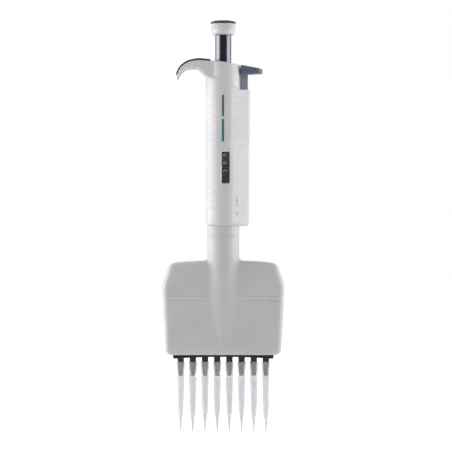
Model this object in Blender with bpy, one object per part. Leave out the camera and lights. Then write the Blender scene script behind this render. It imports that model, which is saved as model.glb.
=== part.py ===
"""Eight-channel adjustable pipette with its tips, one object for each physical piece.

Dimensions are in millimetres and are turned into metres when a mesh is stored.
The main axis is x = y = 0, z = 0 is the tip ends, +Z is up, +X is the side of
the tip ejector and -Y is the side of the display.
"""
import math

import bmesh
import bpy

MM = 0.001
GAP = 0.3                    # clearance between neighbouring pieces

# channels
CHANNELS = 8
PITCH = 9.0                  # spacing of a 96-well plate

# tips and nozzles
TIP_TOP = 52.0
SHAFT_R = 2.45
CONE_TOP, CONE_END, CONE_END_R = 51.5, 41.4, 1.6
PISTON_R = 2.6
CYLINDER_BORE_R, CYLINDER_R = 2.9, 3.9
CYLINDER_LOW, CYLINDER_TOP = 62.0, 84.0

# ejector bar under the manifold
BAR_HALF_X, BAR_HALF_Y = 37.4, 4.6
BAR_TOP, BAR_LOW_MIDDLE, BAR_LOW_END = 56.9, 55.6, 54.2
BLADE_X = 36.5               # blades that carry the bar
BLADE_HALF_X, BLADE_HALF_Y = 0.6, 3.0

# manifold: a wedge-shaped slab around a round neck
MANIFOLD_LOW, MANIFOLD_TOP = 57.2, 127.6
MANIFOLD_WALL = 2.1
SPLIT_Y = 0.15               # half the gap between the two covers
SLAB_LOW_Y, SLAB_TOP_Y = 12.05, 6.95
NECK_R, NECK_BORE_R, NECK_TOP = 11.7, 9.7, 145.1
COLLAR_R, COLLAR_TOP = 11.8, 151.9
YOKE_LOW, YOKE_TOP = 118.8, 121.3
PISTON_BAR_LOW, PISTON_BAR_TOP = 103.4, 106.4

# handle: hull of a large circle on the axis and a small one on the ejector's side
HANDLE_LOW, HANDLE_FLOOR = 152.2, 154.7
SHOULDER = 252.7             # flat top of the handle's nose
HANDLE_R, NOSE_R = 12.8, 3.2
NOSE_X_LOW, NOSE_X_TOP = 15.65, 16.5
BORE_R, NOSE_BORE_R = 10.6, 1.9
BORE_SHIFT = 0.1             # the bore's nose sits this much further out
BORE_TOP = 268.6
SHELL_DEPTH_Y = 15.0         # half length of cutters that go right through the handle
SEAM_LEFT = -7.0             # the upper housing starts here, right of the finger hook
WINDOW_X, WINDOW_HALF_X = 1.65, 2.85
WINDOW_LOW, WINDOW_TOP = 183.5, 206.8

# inner barrel and display
BARREL_R, BARREL_BORE_R = 8.2, 7.0
SLEEVE_R, SLEEVE_BORE_R = 9.4, 8.6
DRUM_R, DRUM_BORE_R, DRUM_HEIGHT = 10.2, 6.5, 5.5
DRUM_PITCH, FIRST_DRUM_Z = 5.9, 186.7

# top: rod, button, housing and ejector
ROD_R = 5.87
HOUSING_RIGHT = 12.2
HOUSING_TOP_Z, HOUSING_SLOPE = 272.9, 0.158
STEM_LEFT = 12.6
ROD_X = 15.2                 # ejector's side rod
HOOK_HALF_Y, HOOK_TIP_HALF_Y = 10.5, 7.6
PAD_THICKNESS = 1.1

# colours
WHITE = (0.80, 0.79, 0.80)
GREY = (0.74, 0.73, 0.75)
DARK = (0.055, 0.06, 0.065)
SLATE = (0.135, 0.155, 0.205)


def clear_scene():
    for item in list(bpy.data.objects):
        bpy.data.objects.remove(item)


def plastic(name, colour, roughness=0.4, metallic=0.0, alpha=1.0):
    """A material of one Principled shader."""
    material = bpy.data.materials.new(name)
    material.use_nodes = True
    shader = material.node_tree.nodes["Principled BSDF"]
    shader.inputs["Base Color"].default_value = (*colour, 1.0)
    shader.inputs["Roughness"].default_value = roughness
    shader.inputs["Metallic"].default_value = metallic
    shader.inputs["Alpha"].default_value = alpha
    return material


def add_object(name, mesh_in_mm, material=None, at=(0, 0, 0)):
    """Store a bmesh as an object whose origin is at the given place."""
    bmesh.ops.remove_doubles(mesh_in_mm, verts=mesh_in_mm.verts, dist=1e-4)
    bmesh.ops.recalc_face_normals(mesh_in_mm, faces=mesh_in_mm.faces)
    bmesh.ops.scale(mesh_in_mm, vec=(MM, MM, MM), verts=mesh_in_mm.verts)
    data = bpy.data.meshes.new(name)
    mesh_in_mm.to_mesh(data)
    mesh_in_mm.free()
    data.shade_smooth()
    data.set_sharp_from_angle(angle=math.radians(35))
    if material:
        data.materials.append(material)
    item = bpy.data.objects.new(name, data)
    item.location = [value * MM for value in at]
    bpy.context.scene.collection.objects.link(item)
    return item


def cutter(name, mesh_in_mm):
    """A guide object for a Boolean, which is no piece of the pipette."""
    item = add_object(name, mesh_in_mm)
    item.hide_render = True
    item.display_type = "WIRE"
    return item


def boolean(item, operation, tool):
    modifier = item.modifiers.new(tool.name, "BOOLEAN")
    modifier.operation = operation
    modifier.solver = "EXACT"
    modifier.object = tool


def loft(rings):
    """Skin through rings of equal length, with flat ends."""
    mesh = bmesh.new()
    rows = [[mesh.verts.new(point) for point in ring] for ring in rings]
    for row, following in zip(rows, rows[1:]):
        for i, vert in enumerate(row):
            j = (i + 1) % len(row)
            mesh.faces.new((vert, row[j], following[j], following[i]))
    mesh.faces.new(rows[0])
    mesh.faces.new(rows[-1])
    return mesh


def turned(profile, segments, centre=(0.0, 0.0)):
    """Solid of revolution of a closed (radius, z) profile about a vertical axis."""
    mesh = bmesh.new()
    turns = [2 * math.pi * i / segments for i in range(segments)]
    rows = []
    for radius, z in profile:
        angles = turns if radius > 0 else [0.0]
        rows.append([
            mesh.verts.new((centre[0] + radius * math.cos(a), centre[1] + radius * math.sin(a), z))
            for a in angles
        ])
    for row, following in zip(rows, rows[1:] + rows[:1]):
        for i in range(segments):
            j = (i + 1) % segments
            corners = [row[i % len(row)], row[j % len(row)]]
            corners += [following[j % len(following)], following[i % len(following)]]
            corners = list(dict.fromkeys(corners))
            if len(corners) > 2:
                mesh.faces.new(corners)
    return mesh


def tube(outer, inner, low, high, segments):
    return turned([(outer, low), (outer, high), (inner, high), (inner, low)], segments)


def rod(radius, low, high, segments, centre=(0.0, 0.0)):
    return turned([(0, low), (radius, low), (radius, high), (0, high)], segments, centre)


def block(low, high):
    """Box between two corners."""
    corners = [(low[0], low[1]), (high[0], low[1]), (high[0], high[1]), (low[0], high[1])]
    return loft([[(x, y, z) for x, y in corners] for z in (low[2], high[2])])


def merged(meshes):
    """One bmesh of several that don't touch."""
    whole = bmesh.new()
    for mesh in meshes:
        data = bpy.data.meshes.new("part")
        mesh.to_mesh(data)
        mesh.free()
        whole.from_mesh(data)
        bpy.data.meshes.remove(data)
    return whole


def arc(centre, radius, start, end, count):
    """Points on an arc, angles in degrees."""
    step = (end - start) / (count - 1)
    angles = [math.radians(start + step * i) for i in range(count)]
    return [(centre[0] + radius * math.cos(a), centre[1] + radius * math.sin(a)) for a in angles]


def curve_through(points, steps):
    """Catmull-Rom curve through 2D points."""
    ends = [points[0]] + points + [points[-1]]
    curve = []
    for a, b, c, d in zip(ends, ends[1:], ends[2:], ends[3:]):
        for i in range(steps):
            t = i / steps
            weights = (
                -0.5 * t + t * t - 0.5 * t ** 3,
                1 - 2.5 * t * t + 1.5 * t ** 3,
                0.5 * t + 2 * t * t - 1.5 * t ** 3,
                -0.5 * t * t + 0.5 * t ** 3,
            )
            curve.append(tuple(
                sum(w * p[k] for w, p in zip(weights, (a, b, c, d))) for k in range(2)
            ))
    return curve + [points[-1]]


def teardrop(radius, nose_radius, nose_x, round_points=26, nose_points=8):
    """Outline of the hull of two circles, the large one at the origin."""
    tangent = math.degrees(math.acos((radius - nose_radius) / nose_x))
    back = arc((0, 0), radius, tangent, 360 - tangent, round_points)
    return back + arc((nose_x, 0), nose_radius, -tangent, tangent, nose_points)


def nose_x_at(z):
    share = (z - HANDLE_LOW) / (SHOULDER - HANDLE_LOW)
    return NOSE_X_LOW + (NOSE_X_TOP - NOSE_X_LOW) * share


def teardrop_ring(radius, nose_radius, z, nose_shift=0.0):
    outline = teardrop(radius, nose_radius, nose_x_at(z) + nose_shift)
    return [(x, y, z) for x, y in outline]


def channel_xs():
    return [(i - (CHANNELS - 1) / 2) * PITCH for i in range(CHANNELS)]


def channel_holes(name, radius, low, high):
    """Cutter of one upright hole for each channel."""
    return cutter(name, merged([rod(radius, low, high, 12, (x, 0)) for x in channel_xs()]))


# ---------------------------------------------------------------- casings

def seam_points(lift):
    """Seam between handle body and upper housing, from left to right, moved up by lift."""
    seam = curve_through([(SEAM_LEFT, 262.6), (-3.3, 259.2), (1.0, 256.7), (6.6, 254.8), (12.3, 252.9)], 3)
    return [(x, z + lift) for x, z in seam]


def seam_region(name, lift, low, high):
    """Cutter of all above the seam up to high, or with low set of all to its left and below."""
    left, right = -40.0, 21.0
    edge_x = SEAM_LEFT + lift
    edge = [(edge_x, high)] + seam_points(lift) + [(right, SHOULDER + lift)]
    if low is None:
        outline = edge + [(right, high)]
    else:
        outline = edge + [(right, low), (left, low), (left, high)]
    return cutter(name, loft([[(x, y, z) for x, z in outline] for y in (-SHELL_DEPTH_Y, SHELL_DEPTH_Y)]))


def guide_object(name, mesh_in_mm, item, operation):
    """A hidden shape joined to a piece or cut from it."""
    boolean(item, operation, cutter(name, mesh_in_mm))


def handle_body(material):
    edge = 1.0
    outer = [
        teardrop_ring(HANDLE_R - edge, NOSE_R - edge, HANDLE_LOW),
        teardrop_ring(HANDLE_R, NOSE_R, HANDLE_LOW + edge),
        teardrop_ring(HANDLE_R, NOSE_R, 273.0),
    ]
    body = add_object("handle_body", loft(outer), material)
    top, under = hook_curves()
    lowered = moved_along_normal(top, -(PAD_THICKNESS + GAP))
    guide_object("hook_shape", strip(lowered, under, 0.0, 1.2), body, "UNION")
    boolean(body, "DIFFERENCE", seam_region("above_seam", -GAP / 2, None, 283.0))
    bore = [teardrop_ring(BORE_R, NOSE_BORE_R, z, BORE_SHIFT) for z in (HANDLE_FLOOR, BORE_TOP)]
    guide_object("handle_bore", loft(bore), body, "DIFFERENCE")
    floor_hole = rod(SLEEVE_R + 0.4, HANDLE_LOW - 2, HANDLE_FLOOR + 1, 32)
    guide_object("handle_floor_hole", floor_hole, body, "DIFFERENCE")
    window = block(
        (WINDOW_X - WINDOW_HALF_X, -14, WINDOW_LOW),
        (WINDOW_X + WINDOW_HALF_X, -9, WINDOW_TOP),
    )
    guide_object("window_opening", window, body, "DIFFERENCE")
    guide_low, guide_top, guide_left = 218.0, 221.7, 12.6
    guide = nose_piece(guide_left, 2.3, guide_low, guide_top)
    guide_object("rod_guide", guide, body, "UNION")
    guide_hole = rod(1.4, guide_low - 1, guide_top + 1, 12, (ROD_X, 0))
    guide_object("rod_guide_hole", guide_hole, body, "DIFFERENCE")
    boolean(body, "DIFFERENCE", bush_hole())
    return body


def nose_piece(left, nose_radius, low, high):
    """Upright prism of the nose's inner shape, flat on its left side."""
    centre_x = nose_x_at((low + high) / 2) + BORE_SHIFT
    slope = (BORE_R - NOSE_BORE_R) / centre_x
    tangent = math.degrees(math.acos(slope))
    flank_y = (nose_radius + slope * (centre_x - left)) / math.sin(math.radians(tangent))
    outline = [(left, flank_y), (left, -flank_y)]
    outline += arc((centre_x, 0), nose_radius, -tangent, tangent, 8)
    return loft([[(x, y, z) for x, y in outline] for z in (low, high)])


def hook_curves():
    """Matching points along the finger hook's top and underside, from housing to tip."""
    top = curve_through([
        (-6.0, 274.3), (-10.5, 275.3), (-19.0, 276.0), (-27.0, 274.0), (-32.6, 270.0), (-35.4, 264.0),
    ], 3)
    under = curve_through([
        (-6.0, 258.5), (-13.6, 263.2), (-18.6, 267.9), (-27.0, 267.7), (-31.4, 264.3), (-33.7, 260.3),
    ], 3)
    facet_left, facet_right, facet_z = -25.4, -20.6, 268.5
    level = [
        (x, facet_z if facet_left < x < facet_right or abs(z - facet_z) < 0.12 else z)
        for x, z in under
    ]
    return top, level


def hook_half_width(x):
    share = min(1.0, max(0.0, (-x - 12.8) / 22.6))
    return HOOK_HALF_Y + (HOOK_TIP_HALF_Y - HOOK_HALF_Y) * share ** 2


def strip(top, under, inset, corner):
    """Arched bar through matching top and underside points, with rounded long edges."""
    rings = []
    for (x1, z1), (x0, z0) in zip(top, under):
        half = hook_half_width(x1) - inset
        thick = math.dist((x1, z1), (x0, z0))
        sides = [
            (half, corner), (half - corner, 0), (corner - half, 0), (-half, corner),
            (-half, thick - corner), (corner - half, thick), (half - corner, thick), (half, thick - corner),
        ]
        ux, uz = (x1 - x0) / thick, (z1 - z0) / thick
        rings.append([(x0 + ux * d, y, z0 + uz * d) for y, d in sides])
    return loft(rings)


def moved_along_normal(curve, distance):
    """Copy of an open curve, moved to its right-hand side by a distance."""
    moved = []
    for i, (x, z) in enumerate(curve):
        before, after = curve[max(i - 1, 0)], curve[min(i + 1, len(curve) - 1)]
        dx, dz = after[0] - before[0], after[1] - before[1]
        length = math.hypot(dx, dz)
        moved.append((x + dz / length * distance, z - dx / length * distance))
    return moved


def housing_top_z(x):
    return HOUSING_TOP_Z - HOUSING_SLOPE * x


def bush_hole():
    """Cutter of the hole for the plunger bush, shared by body and housing."""
    return cutter("bush_hole", rod(8.2, BORE_TOP - 2, 285.0, 32))


def upper_housing(material):
    below, above, wide = 245.0, 290.0, SHELL_DEPTH_Y
    casing = add_object("upper_housing", rod(HANDLE_R, 250.0, 280.0, 40), material)
    corners = [(-wide, housing_top_z(-wide)), (wide, housing_top_z(wide)), (wide, above), (-wide, above)]
    roof = loft([[(x, y, z) for x, z in corners] for y in (-wide, wide)])
    guide_object("above_housing", roof, casing, "DIFFERENCE")
    boolean(casing, "DIFFERENCE", seam_region("below_seam", GAP / 2, below, above))
    guide_object("housing_bore", rod(BORE_R, below, BORE_TOP, 40), casing, "DIFFERENCE")
    boolean(casing, "DIFFERENCE", bush_hole())
    side = block((HOUSING_RIGHT, -wide, below), (HOUSING_RIGHT + 4, wide, above))
    guide_object("housing_side", side, casing, "DIFFERENCE")
    return casing


def hook_pad(material):
    top, _ = hook_curves()
    covered = top[3:]
    return add_object(
        "hook_pad", strip(covered, moved_along_normal(covered, -PAD_THICKNESS), 0.8, 0.3), material)


def manifold_outline():
    """Right and left edge of the manifold seen from the front, as (x, z)."""
    right = arc((38.2, 61.9), 4.7, -90, -5, 6)
    right += [(45.1, 106.4), (43.0, 116.0)]
    right += arc((37.3, 122.9), 4.1, 15, 75, 4)
    right += [(32.0, 127.0), (11.0, MANIFOLD_TOP)]
    return right + [(-x, z) for x, z in reversed(right)]


def slab_y(z):
    """Half thickness of the manifold's slab at a height."""
    share = (z - MANIFOLD_LOW) / (MANIFOLD_TOP - MANIFOLD_LOW)
    return SLAB_LOW_Y + (SLAB_TOP_Y - SLAB_LOW_Y) * share


def shrunk(outline, distance):
    """Closed outline moved inwards."""
    count = len(outline)
    moved = []
    for i, (x, z) in enumerate(outline):
        (x0, z0), (x1, z1) = outline[i - 1], outline[(i + 1) % count]
        a, b = (x - x0, z - z0), (x1 - x, z1 - z)
        la, lb = math.hypot(*a), math.hypot(*b)
        nx, nz = -(a[1] / la + b[1] / lb), a[0] / la + b[0] / lb
        length = math.hypot(nx, nz)
        share = distance / max(0.5, length / 2) / length
        moved.append((x + nx * share, z + nz * share))
    return moved


def manifold_cover(name, side, material, cavity):
    """Front (side -1) or rear (side 1) half of the manifold's casing."""
    outline = manifold_outline()
    edge = 3.0
    steps = [(0.0, None), (0.0, edge), (edge * 0.3, edge * 0.3), (edge, 0.0)]
    rings = []
    for inset, below in steps:
        ring = shrunk(outline, inset) if inset else outline
        rings.append([
            (x, side * (SPLIT_Y if below is None else slab_y(z) - below), z) for x, z in ring
        ])
    cover = add_object(name, loft(rings), material)
    guide_object(name + "_neck", rod(NECK_R, MANIFOLD_LOW + 1.5, NECK_TOP, 40), cover, "UNION")
    for tool in cavity:
        boolean(cover, "DIFFERENCE", tool)
    near, far = sorted((-20.0 * side, SPLIT_Y * side))
    other_half = block((-50, near, 40), (50, far, 160))
    guide_object(name + "_split", other_half, cover, "DIFFERENCE")
    return cover


def manifold_cavity():
    """Cutters for the inside of both covers: slab, neck and the slot in the floor."""
    inner = shrunk(manifold_outline(), MANIFOLD_WALL)
    rings = [[(x, side * (slab_y(z) - MANIFOLD_WALL), z) for x, z in inner] for side in (-1, 1)]
    slab = cutter("manifold_cavity", loft(rings))
    bore = cutter("neck_bore", rod(NECK_BORE_R, MANIFOLD_LOW + MANIFOLD_WALL, NECK_TOP + 2, 40))
    slot = cutter("floor_slot", block((-37.7, -3.4, 50), (37.7, 3.4, 61)))
    return slab, bore, slot


# ---------------------------------------------------------------- inner pieces

def inner_barrel(material):
    tail_r, tail_bore_r, axle_r, axle_bore_r = 5.2, 3.0, 6.1, 5.4
    profile = [
        (tail_bore_r, 124.0), (tail_r, 124.0), (tail_r, 133.0), (BARREL_R, 133.0),
        (BARREL_R, 181.0), (BORE_R - GAP, 181.0), (BORE_R - GAP, 183.2), (axle_r, 183.2),
        (axle_r, 207.2), (axle_bore_r, 207.2), (axle_bore_r, 182.2), (BARREL_BORE_R, 182.2),
        (BARREL_BORE_R, 136.6), (tail_bore_r, 136.6),
    ]
    return add_object("inner_barrel", turned(profile, 24), material)


def coil(mean_radius, wire_radius, low, high, turns, centre=(0.0, 0.0)):
    """Helical spring whose end turns lie flat."""
    steps, sides = 9, 4
    count = turns * steps
    bottom, top = low + wire_radius, high - wire_radius
    end_rise = 2 * wire_radius * 1.05
    rings = []
    for i in range(count + 1):
        turn = i / steps
        angle = 2 * math.pi * turn
        middle = (turn - 1) / (turns - 2)
        if turn < 1:
            z = bottom + end_rise * turn
        elif turn > turns - 1:
            z = top - end_rise * (turns - turn)
        else:
            z = bottom + end_rise + (top - bottom - 2 * end_rise) * middle
        ring = []
        for k in range(sides):
            around = 2 * math.pi * k / sides
            radius = mean_radius + wire_radius * math.cos(around)
            ring.append((
                centre[0] + radius * math.cos(angle),
                centre[1] + radius * math.sin(angle),
                z + wire_radius * math.sin(around),
            ))
        rings.append(ring)
    return loft(rings)


def drums(material):
    names = ["blank_drum", "hundreds_drum", "tens_drum", "units_drum"]
    ring = [
        (DRUM_R, -DRUM_HEIGHT / 2), (DRUM_R, DRUM_HEIGHT / 2),
        (DRUM_BORE_R, DRUM_HEIGHT / 2), (DRUM_BORE_R, -DRUM_HEIGHT / 2),
    ]
    return [
        add_object(name, turned(ring, 20), material, at=(0, 0, FIRST_DRUM_Z + i * DRUM_PITCH))
        for i, name in enumerate(names)
    ]


def volume_screw(material):
    outer_r, bore_r, hole_r = 7.5, 5.3, 2.55
    profile = [
        (hole_r, 208.0), (outer_r, 208.0), (outer_r, 232.0),
        (bore_r, 232.0), (bore_r, 210.0), (hole_r, 210.0),
    ]
    mesh = turned(profile, 24)
    # the hole in the flange is hexagonal, like the drive shaft
    for vert in mesh.verts:
        if math.hypot(vert.co.x, vert.co.y) < bore_r - 1:
            angle = math.atan2(vert.co.y, vert.co.x) % (math.pi / 3) - math.pi / 6
            flat = math.cos(math.pi / 6) / math.cos(angle)
            vert.co.x *= flat
            vert.co.y *= flat
    return add_object("volume_screw", mesh, material)


def drive_shaft(material):
    shaft_r, flange_r, head_r = 2.2, 3.6, 4.3
    profile = [
        (0, 156.0), (shaft_r, 156.0), (shaft_r, 181.5), (flange_r, 181.5), (flange_r, 184.0),
        (shaft_r, 184.0), (shaft_r, 262.0), (head_r, 262.0), (head_r, 287.7), (0, 287.7),
    ]
    return add_object("drive_shaft", turned(profile, 6), material)


def plunger_rod(material):
    bore_r, spigot_r = 4.6, 4.7
    profile = [
        (bore_r, 250.0), (ROD_R, 250.0), (ROD_R, 292.4), (spigot_r, 292.4),
        (spigot_r, 299.0), (0, 299.0), (0, 288.0), (bore_r, 288.0),
    ]
    return add_object("plunger_rod", turned(profile, 32), material)


def push_button(material):
    hole_r = 5.0
    profile = [
        (hole_r, 292.7), (7.3, 292.7), (7.7, 293.6), (8.4, 295.4), (8.7, 296.6),
        (9.3, 301.2), (9.1, 301.5), (hole_r, 301.5),
    ]
    return add_object("push_button", turned(profile, 32), material)


def button_cap(material):
    profile = [
        (0, 301.8), (9.3, 301.8), (9.7, 302.3), (9.6, 303.3), (8.6, 304.3),
        (6.6, 304.9), (5.0, 305.0), (3.0, 304.6), (0, 304.3),
    ]
    return add_object("button_cap", turned(profile, 32), material)


def plunger_bush(material):
    profile = [(6.2, 265.0), (7.9, 265.0), (7.9, 271.2), (6.2, 271.2)]
    return add_object("plunger_bush", turned(profile, 24), material)


def ejector_button(material):
    stem_low, plate_low = 243.3, 264.3
    stem = add_object("ejector_button", nose_piece(STEM_LEFT, 1.6, stem_low, 268.0), material)
    hole = rod(1.5, stem_low - 1, 251.3, 12, (ROD_X, 0))
    guide_object("stem_hole", hole, stem, "DIFFERENCE")
    half_y, round_r, end_x = 6.6, 5.0, 28.9
    plan = [(STEM_LEFT, half_y), (STEM_LEFT, -half_y)]
    plan += arc((end_x - round_r, round_r - half_y), round_r, -90, 0, 5)
    plan += arc((end_x - round_r, half_y - round_r), round_r, 0, 90, 5)
    edge_x, edge_z = 14.0, 271.0
    slope = 0.19
    top = [(x, y, edge_z - slope * max(0.0, x - edge_x)) for x, y in plan]
    plate = loft([[(x, y, plate_low) for x, y in plan], top])
    guide_object("thumb_plate_shape", plate, stem, "UNION")
    return stem


def ejector_rod(material):
    sleeve_low, arm_low, arm_top = 150.0, 166.0, 169.0
    rod_r = 1.1
    item = add_object("ejector_rod", rod(rod_r, arm_low, 250.9, 12, (ROD_X, 0)), material)
    arm = block((9.0, -0.9, arm_low), (ROD_X + 0.3, 0.9, arm_top))
    ring = tube(SLEEVE_R, SLEEVE_BORE_R, sleeve_low, arm_top, 24)
    guide_object("ejector_arm_shape", arm, item, "UNION")
    guide_object("ejector_sleeve_shape", ring, item, "UNION")
    return item


def ejector_yoke(material):
    bar = block((-BLADE_X - BLADE_HALF_X, -4.4, YOKE_LOW), (BLADE_X + BLADE_HALF_X, 4.4, YOKE_TOP))
    yoke = add_object("ejector_yoke", bar, material)
    sleeve = turned([
        (0, YOKE_LOW), (SLEEVE_R, YOKE_LOW), (SLEEVE_R, 149.7), (SLEEVE_BORE_R, 149.7),
        (SLEEVE_BORE_R, YOKE_TOP), (0, YOKE_TOP),
    ], 24)
    blades = merged([
        block(
            (side * BLADE_X - BLADE_HALF_X, -BLADE_HALF_Y, BAR_TOP + GAP),
            (side * BLADE_X + BLADE_HALF_X, BLADE_HALF_Y, YOKE_TOP - 1.0),
        )
        for side in (-1, 1)
    ])
    guide_object("yoke_sleeve_shape", sleeve, yoke, "UNION")
    guide_object("yoke_blades_shape", blades, yoke, "UNION")
    guide_object("yoke_hole", rod(3.2, YOKE_LOW - 2, YOKE_TOP + 2, 16), yoke, "DIFFERENCE")
    window = block((-2.8, -12, 128.4), (2.8, 12, 144.4))
    guide_object("yoke_windows", window, yoke, "DIFFERENCE")
    return yoke


def swivel_hub(material):
    low, high = 129.0, 132.7
    hub = add_object("swivel_hub", tube(BARREL_R, 5.5, low, high, 24), material)
    spokes = merged([
        block((-2.3, min(y), low), (2.3, max(y), high)) for y in ((6.6, 9.35), (-9.35, -6.6))
    ])
    guide_object("hub_spokes_shape", spokes, hub, "UNION")
    return hub


def cylinder_plate(material):
    low, high = 59.5, 61.7
    plate = add_object("cylinder_plate", block((-38.6, -8.6, low), (38.6, 8.6, high)), material)
    boolean(plate, "DIFFERENCE", channel_holes("shaft_holes", SHAFT_R + GAP, low - 1, high + 1))
    slots = merged([
        block(
            (side * BLADE_X - BLADE_HALF_X - GAP, -BLADE_HALF_Y - GAP, low - 1),
            (side * BLADE_X + BLADE_HALF_X + GAP, BLADE_HALF_Y + GAP, high + 1),
        )
        for side in (-1, 1)
    ])
    guide_object("blade_slots", slots, plate, "DIFFERENCE")
    return plate


def piston_seal_strip(material):
    low, high = CYLINDER_TOP + GAP, CYLINDER_TOP + GAP + 1.5
    strip_block = block((-35.4, -4.2, low), (35.4, 4.2, high))
    item = add_object("piston_seal_strip", strip_block, material)
    boolean(item, "DIFFERENCE", channel_holes("seal_holes", PISTON_R + GAP, low - 1, high + 1))
    return item


def ejector_bar(material):
    count = 9
    xs = [BAR_HALF_X * (2 * i / (count - 1) - 1) for i in range(count)]
    rise = BAR_LOW_MIDDLE - BAR_LOW_END
    under = [(x, BAR_LOW_END + rise * (1 - (x / BAR_HALF_X) ** 2)) for x in xs]
    outline = under + [(BAR_HALF_X, BAR_TOP), (-BAR_HALF_X, BAR_TOP)]
    mesh = loft([[(x, y, z) for x, z in outline] for y in (-BAR_HALF_Y, BAR_HALF_Y)])
    bar = add_object("ejector_bar", mesh, material)
    boolean(bar, "DIFFERENCE", channel_holes("bar_holes", SHAFT_R + 0.4, 50, 60))
    return bar


def repeated(name, mesh, material):
    """One object for each channel, all with the same mesh."""
    first = add_object(name + "_1", mesh, material, at=(channel_xs()[0], 0, 0))
    items = [first]
    for i, x in enumerate(channel_xs()[1:], start=2):
        item = bpy.data.objects.new(f"{name}_{i}", first.data)
        item.location = (x * MM, 0, 0)
        bpy.context.scene.collection.objects.link(item)
        items.append(item)
    return items


def nozzles(material):
    air_r = 0.9
    profile = [
        (air_r, CONE_END), (CONE_END_R, CONE_END), (SHAFT_R, CONE_TOP), (SHAFT_R, CYLINDER_LOW),
        (CYLINDER_R, CYLINDER_LOW), (CYLINDER_R, CYLINDER_TOP), (CYLINDER_BORE_R, CYLINDER_TOP),
        (CYLINDER_BORE_R, CYLINDER_LOW + 3), (air_r, CYLINDER_LOW + 3),
    ]
    return repeated("nozzle", turned(profile, 12), material)


def push_rod(material):
    rod_r, head_r, low, top = 2.5, 2.9, PISTON_BAR_TOP + GAP, 155.5
    profile = [(0, low), (rod_r, low), (rod_r, top - 3.5), (head_r, top - 3.5), (head_r, top), (0, top)]
    return add_object("push_rod", turned(profile, 16), material)


def pistons(material):
    return repeated("piston", rod(PISTON_R, CYLINDER_TOP - 2, PISTON_BAR_LOW - GAP, 12), material)


def tips(material):
    outer = [
        (0.65, 0.0), (1.6, 10.3), (2.35, 15.0), (3.1, 40.0), (3.5, 41.8), (3.9, 50.0), (3.9, TIP_TOP),
    ]
    inner = [(3.15, TIP_TOP), (2.75, 44.0), (2.5, 40.0), (1.75, 15.0), (0.35, 0.0)]
    return repeated("tip", turned(outer + inner, 12), material)


# ---------------------------------------------------------------- assembly

def carry(name, items, at=(0, 0, 0)):
    """Empty on a joint's axis that carries the pieces of one moving group."""
    empty = bpy.data.objects.new(name, None)
    empty.location = [value * MM for value in at]
    bpy.context.scene.collection.objects.link(empty)
    for item in items:
        item.location = item.location - empty.location
        item.parent = empty
    return empty


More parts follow.
